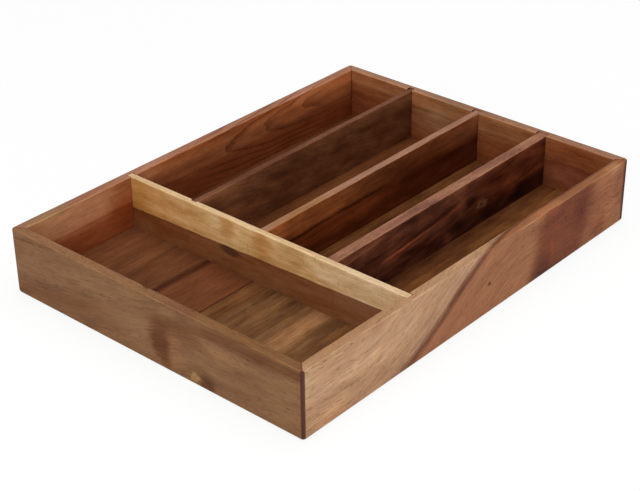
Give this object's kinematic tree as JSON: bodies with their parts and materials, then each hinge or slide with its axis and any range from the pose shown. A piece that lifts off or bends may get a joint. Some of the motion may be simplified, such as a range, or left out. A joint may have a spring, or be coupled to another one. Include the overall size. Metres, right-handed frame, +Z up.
{
  "type": "knife tray",
  "caption": "Shallow mitred wooden tray for knives and cutlery, with one bay across the front and lengthwise lanes behind a cross divider.",
  "frame": {"origin": "on the ground under the middle of the tray", "axes": "+X across the lanes to the right, +Y from the front bay to the back wall, +Z up"},
  "size_m": [0.26, 0.35, 0.05],
  "materials": {
    "wall_wood": "oiled acacia, satin",
    "sapwood": "oiled pale acacia sapwood over brown heartwood, satin",
    "divider_wood": "oiled dark acacia, satin",
    "base_wood": "oiled acacia staves, satin"
  },
  "bodies": {
    "root": {"front_wall": "wall_wood", "back_wall": "wall_wood", "left_wall": "wall_wood", "right_wall": "wall_wood", "cross_divider": "sapwood", "left_lane_divider": "divider_wood", "middle_lane_divider": "divider_wood", "right_lane_divider": "divider_wood", "base_stave_1": "base_wood", "base_stave_2": "base_wood", "base_stave_3": "base_wood", "base_stave_4": "base_wood", "base_stave_5": "base_wood", "base_stave_6": "base_wood"}
  },
  "joints": []
}
